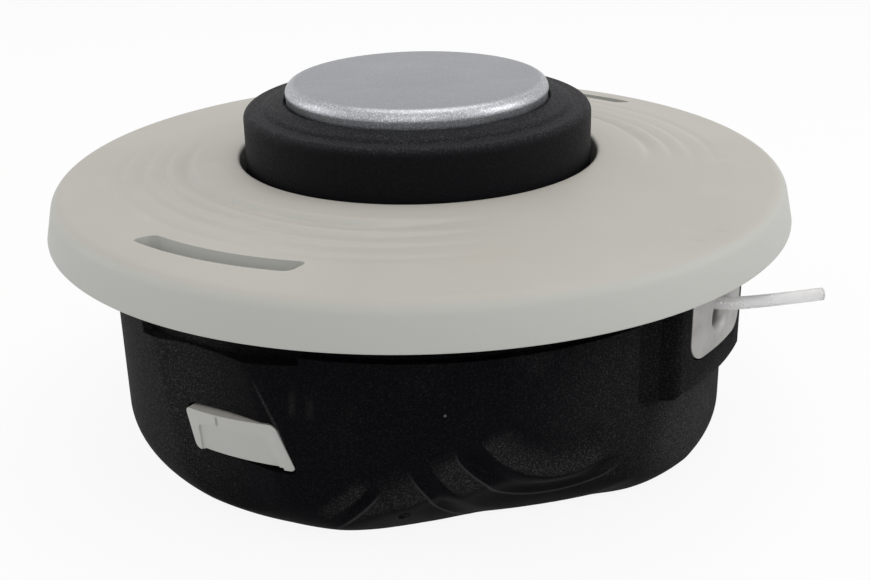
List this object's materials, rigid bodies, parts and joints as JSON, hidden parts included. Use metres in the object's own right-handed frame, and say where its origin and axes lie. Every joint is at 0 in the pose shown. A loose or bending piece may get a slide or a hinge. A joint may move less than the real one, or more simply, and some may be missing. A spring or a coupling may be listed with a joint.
{
  "type": "bump feed trimmer head",
  "caption": "Line trimmer head that feeds nylon line when its knob is tapped: black cup housing, pale guard disc, sprung spool with ratchet, metal wear cap and eyelets.",
  "frame": {"origin": "on the spin axis, in the plane of the gearbox-side seat face that it stands on", "axes": "+Z along the spin axis towards the tap knob, +X through the right eyelet, +Y to the far release latch"},
  "size_m": [0.1646, 0.15, 0.0716],
  "materials": {
    "black_plastic": "fine moulded texture",
    "pale_plastic": "satin moulded",
    "knob_plastic": "fine moulded texture",
    "spool_plastic": "satin moulded",
    "cap_metal": "satin",
    "eyelet_metal": "matt sintered",
    "steel": "plain",
    "nylon_line": "translucent"
  },
  "bodies": {
    "head": {"housing": "black_plastic", "drive_insert": "steel", "eyelet_right": "eyelet_metal", "eyelet_left": "eyelet_metal", "cover": "pale_plastic", "line_end_right": "nylon_line", "line_end_left": "nylon_line", "feed_spring": "steel"},
    "thrust": {"spring_washer": "steel"},
    "spool_and_knob": {"spool": "spool_plastic", "line_winding_upper": "nylon_line", "line_winding_lower": "nylon_line", "tap_knob": "knob_plastic", "wear_cap": "cap_metal"},
    "latch_front": {"release_latch_front": "pale_plastic"},
    "latch_back": {"release_latch_back": "pale_plastic"}
  },
  "joints": [
    {"name": "tap", "type": "slide", "parent": "head", "child": "thrust", "axis": [0, 0, -1], "range_m": [0, 0.007], "stiffness_N_per_m": 1500, "springref_m": -0.008, "deforming": ["feed_spring"]},
    {"name": "wind", "type": "hinge", "parent": "thrust", "child": "spool_and_knob", "pos_m": [0, 0, 0.03], "axis": [0, 0, 1], "continuous": true},
    {"name": "latch_front_press", "type": "hinge", "parent": "head", "child": "latch_front", "pos_m": [0.00199, -0.05697, 0.0452], "axis": [0.9994, 0.0349, 0], "range_deg": [0, 9], "stiffness_Nm_per_rad": 0.6},
    {"name": "latch_back_press", "type": "hinge", "parent": "head", "child": "latch_back", "pos_m": [-0.00199, 0.05697, 0.0452], "axis": [-0.9994, -0.0349, 0], "range_deg": [0, 9], "stiffness_Nm_per_rad": 0.6}
  ]
}
